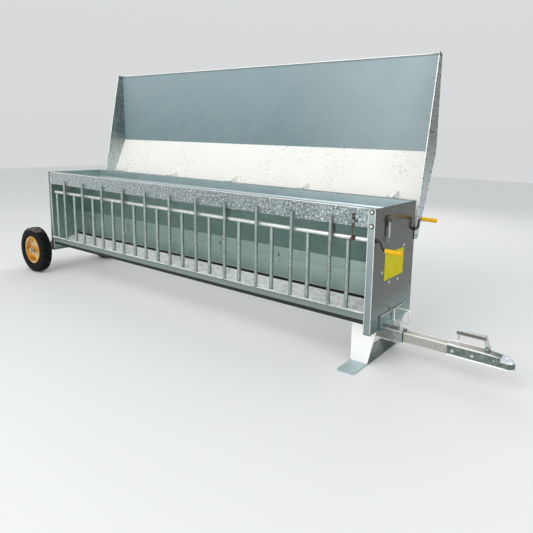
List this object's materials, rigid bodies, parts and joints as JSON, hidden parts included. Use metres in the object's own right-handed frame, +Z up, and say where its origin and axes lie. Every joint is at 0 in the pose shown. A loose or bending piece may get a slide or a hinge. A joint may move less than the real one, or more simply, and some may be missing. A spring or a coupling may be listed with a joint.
{
  "type": "wheeled creep feeder",
  "caption": "Long galvanised lamb feeder with a hopper between two barred creep sides, a hinged roof lid, wheels at one end and a stand with a towing drawbar at the other.",
  "frame": {"origin": "on the ground under the middle of the stand's base bar", "axes": "+X along the feeder towards the towing end, +Y from the front barred side to the rear one, +Z up"},
  "size_m": [3.9755, 0.8605, 1.686],
  "materials": {
    "galvanised_sheet": "galvanised, spangled",
    "galvanised_steel": "hot-dip galvanised",
    "black_steel": "black paint",
    "rusty_steel": "brown, rusted",
    "zinc_fastener": "zinc plated",
    "yellow_grip": "dipped vinyl",
    "label_yellow": "plain yellow",
    "tyre_rubber": "moulded tread",
    "rim_paint": "yellow passivated",
    "nylon_bush": "nylon"
  },
  "bodies": {
    "feeder": {"axle": "zinc_fastener", "axle_fixings": "zinc_fastener", "axle_plates": "galvanised_steel", "catch_plate": "galvanised_steel", "coupling_bolts": "zinc_fastener", "coupling_housing": "galvanised_steel", "coupling_pins": "zinc_fastener", "crank_bearings": "black_steel", "drawbar_tube": "galvanised_steel", "end_plate_bolts": "zinc_fastener", "end_sill": "galvanised_steel", "front_bars": "galvanised_steel", "front_hopper_wall": "galvanised_sheet", "front_trim": "galvanised_sheet", "gate_guides": "galvanised_steel", "hinge_leaves_body": "galvanised_steel", "hinge_pins": "zinc_fastener", "hitch_end_plate": "galvanised_sheet", "label_plate": "label_yellow", "lock_lugs": "galvanised_steel", "post_bolts": "zinc_fastener", "rear_bars": "galvanised_steel", "rear_hopper_wall": "galvanised_sheet", "rear_trim": "galvanised_sheet", "receiver_tube": "galvanised_steel", "stand_base": "galvanised_steel", "stand_bridge": "galvanised_steel", "stand_legs": "galvanised_steel", "trough_pan": "galvanised_sheet", "wheel_end_plate": "galvanised_sheet"},
    "lid": {"lid_panel": "galvanised_sheet", "lid_gable_hitch": "galvanised_sheet", "lid_gable_wheel": "galvanised_sheet", "lid_hinge_arms": "galvanised_steel"},
    "front_gate": {"front_gate_rail": "galvanised_steel", "front_gate_bars": "galvanised_steel"},
    "rear_gate": {"rear_gate_rail": "galvanised_steel", "rear_gate_bars": "galvanised_steel"},
    "front_crank": {"front_crank_rod": "black_steel", "front_crank_grip": "yellow_grip"},
    "rear_crank": {"rear_crank_rod": "black_steel", "rear_crank_grip": "yellow_grip"},
    "front_lock": {"front_lock_pin": "rusty_steel"},
    "rear_lock": {"rear_lock_pin": "rusty_steel"},
    "front_slide": {"front_slide": "galvanised_sheet", "front_slide_clamps": "zinc_fastener"},
    "rear_slide": {"rear_slide": "galvanised_sheet", "rear_slide_clamps": "zinc_fastener"},
    "lid_catch": {"lid_catch": "galvanised_steel"},
    "tow_pin": {"tow_pin": "galvanised_steel"},
    "coupling_handle": {"coupling_handle": "galvanised_steel"},
    "safety_catch": {"safety_catch": "black_steel"},
    "coupling_jaw": {"coupling_jaw": "galvanised_steel"},
    "front_wheel": {"front_tyre": "tyre_rubber", "front_rim": "rim_paint", "front_bush": "nylon_bush"},
    "rear_wheel": {"rear_tyre": "tyre_rubber", "rear_rim": "rim_paint", "rear_bush": "nylon_bush"}
  },
  "joints": [
    {"name": "lid_hinge", "type": "hinge", "parent": "feeder", "child": "lid", "pos_m": [0, 0.295, 0.838], "axis": [1, 0, 0], "range_deg": [0, 101]},
    {"name": "front_crank_turn", "type": "hinge", "parent": "feeder", "child": "front_crank", "pos_m": [0.093, -0.232, 0.685], "axis": [1, 0, 0], "range_deg": [0, 3600]},
    {"name": "front_gate_slide", "type": "slide", "parent": "feeder", "child": "front_gate", "axis": [1, 0, 0], "range_m": [-0.06, 0]},
    {"name": "front_lock_drop", "type": "slide", "parent": "feeder", "child": "front_lock", "axis": [0, 0, 1], "range_m": [-0.018, 0]},
    {"name": "front_slide_lift", "type": "slide", "parent": "feeder", "child": "front_slide", "axis": [0, 0, 1], "range_m": [-0.02, 0.045]},
    {"name": "rear_crank_turn", "type": "hinge", "parent": "feeder", "child": "rear_crank", "pos_m": [0.093, 0.232, 0.685], "axis": [1, 0, 0], "range_deg": [0, 3600]},
    {"name": "rear_gate_slide", "type": "slide", "parent": "feeder", "child": "rear_gate", "axis": [1, 0, 0], "range_m": [-0.06, 0]},
    {"name": "rear_lock_drop", "type": "slide", "parent": "feeder", "child": "rear_lock", "axis": [0, 0, 1], "range_m": [-0.018, 0]},
    {"name": "rear_slide_lift", "type": "slide", "parent": "feeder", "child": "rear_slide", "axis": [0, 0, 1], "range_m": [-0.02, 0.045]},
    {"name": "lid_catch_swing", "type": "hinge", "parent": "feeder", "child": "lid_catch", "pos_m": [0.1045, -0.11, 0.775], "axis": [1, 0, 0], "range_deg": [-175, 175]},
    {"name": "tow_pin_lift", "type": "slide", "parent": "feeder", "child": "tow_pin", "axis": [0, 0, 1], "range_m": [0, 0.13]},
    {"name": "coupling_handle_lift", "type": "hinge", "parent": "feeder", "child": "coupling_handle", "pos_m": [0.612, 0, 0.1845], "axis": [0, 1, 0], "range_deg": [0, 45]},
    {"name": "safety_catch_press", "type": "hinge", "parent": "coupling_handle", "child": "safety_catch", "pos_m": [0.468, 0, 0.231], "axis": [0, 1, 0], "range_deg": [0, 20], "stiffness_Nm_per_rad": 0.05},
    {"name": "coupling_jaw_turn", "type": "hinge", "parent": "feeder", "child": "coupling_jaw", "pos_m": [0.652, 0, 0.144], "axis": [0, 1, 0], "range_deg": [0, 7]},
    {"name": "front_wheel_spin", "type": "hinge", "parent": "feeder", "child": "front_wheel", "pos_m": [-3.038, -0.315, 0.1875], "axis": [0, 1, 0], "continuous": true},
    {"name": "rear_wheel_spin", "type": "hinge", "parent": "feeder", "child": "rear_wheel", "pos_m": [-3.038, 0.315, 0.1875], "axis": [0, 1, 0], "continuous": true}
  ],
  "couplings": [
    {"joint": "coupling_jaw_turn", "follows": "coupling_handle_lift", "ratio": 0.15},
    {"joint": "front_crank_turn", "follows": "front_gate_slide", "rad_per_m": -1047.2},
    {"joint": "rear_crank_turn", "follows": "rear_gate_slide", "rad_per_m": -1047.2}
  ]
}
